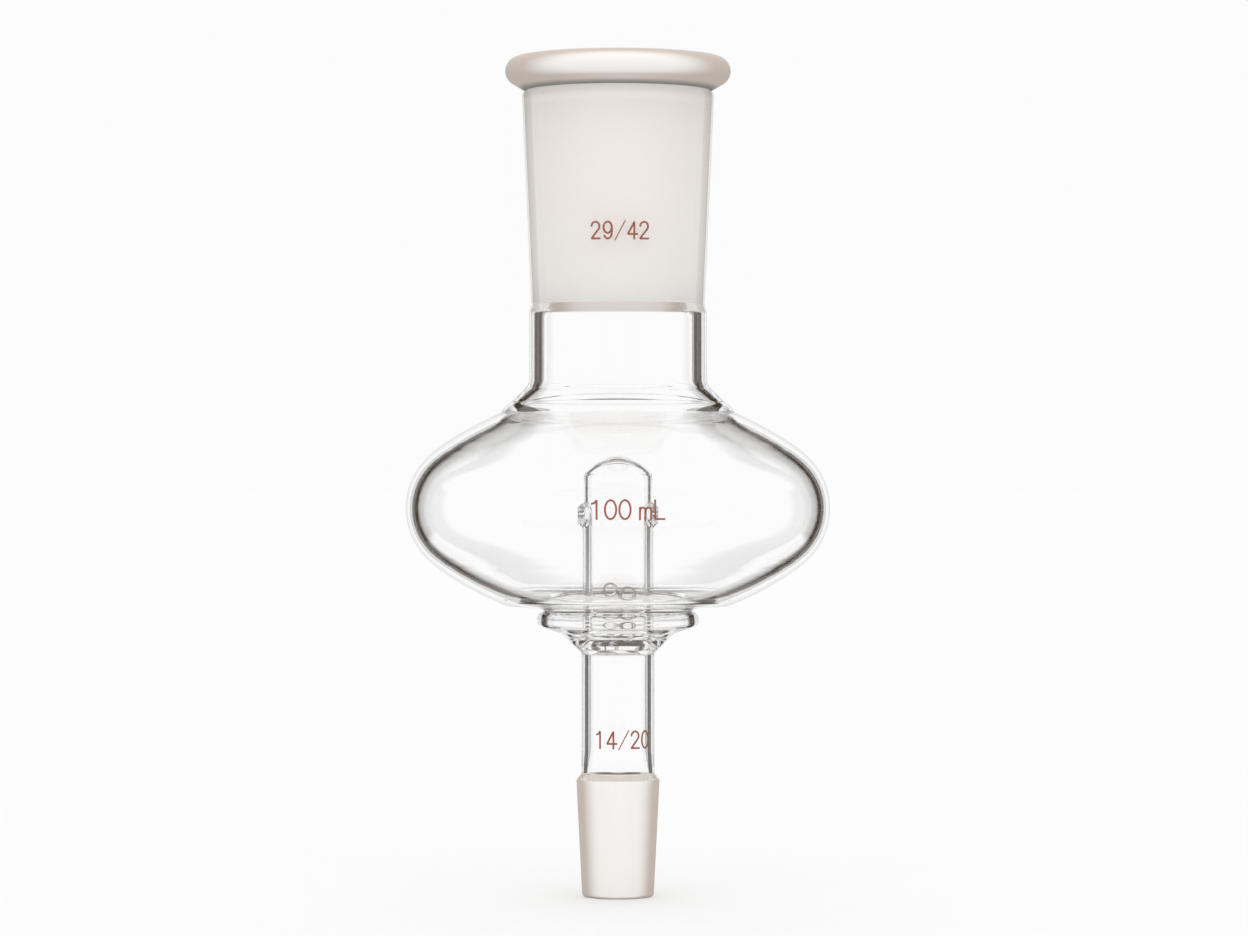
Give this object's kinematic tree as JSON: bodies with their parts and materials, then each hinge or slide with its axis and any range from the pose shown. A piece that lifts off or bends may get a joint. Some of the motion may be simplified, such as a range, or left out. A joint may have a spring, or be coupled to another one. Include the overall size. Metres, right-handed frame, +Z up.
{
  "type": "anti-splash bulb",
  "caption": "Blown glass splash trap: ground socket on top, flattened bulb round a closed inner tube with side holes, drain sump, and a ground cone below.",
  "frame": {"origin": "centre of the upper socket's wide end, the gauge plane of its ground taper, where the part above holds it", "axes": "+Z up along the axis of both joints, +X through the two side holes of the inner tube, -Y towards the front with the printed sizes"},
  "size_m": [0.0742, 0.0742, 0.1462],
  "materials": {
    "clear_glass": "clear borosilicate glass, fire-polished, finely ground on the inside of the socket and the outside of the cone"
  },
  "bodies": {
    "root": {"glass_body": "clear_glass"}
  },
  "joints": []
}
